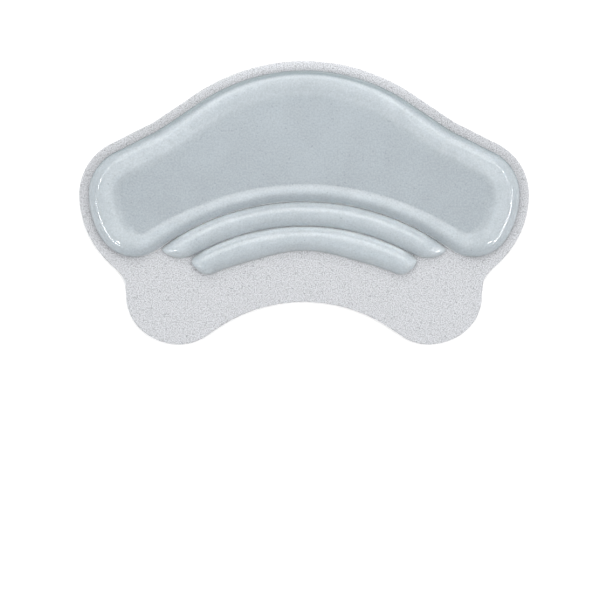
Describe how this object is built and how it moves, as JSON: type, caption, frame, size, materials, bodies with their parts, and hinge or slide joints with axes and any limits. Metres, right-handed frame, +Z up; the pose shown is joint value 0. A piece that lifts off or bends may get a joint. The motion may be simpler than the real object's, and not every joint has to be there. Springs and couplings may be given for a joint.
{
  "type": "gel heel grip pad",
  "caption": "Flat self-adhesive gel pad for the inside back of a shoe, with a domed upper edge, two lower tabs, a raised dished cushion and curved ribs.",
  "frame": {"origin": "on the underside, in the middle of the outline's width and height", "axes": "+X across the pad to its right end, +Y from the tabs to the domed edge, +Z up out of the padded face"},
  "size_m": [0.1, 0.063, 0.0041],
  "materials": {
    "gel": "translucent soft gel with a glossy skin",
    "sheet": "pale, finely pebbled, matte",
    "film": "clear tacky film"
  },
  "bodies": {
    "root": {"adhesive_film": "film", "backing_sheet": "sheet", "gel_cushion": "gel", "upper_rib": "gel", "lower_rib": "gel"}
  },
  "joints": []
}
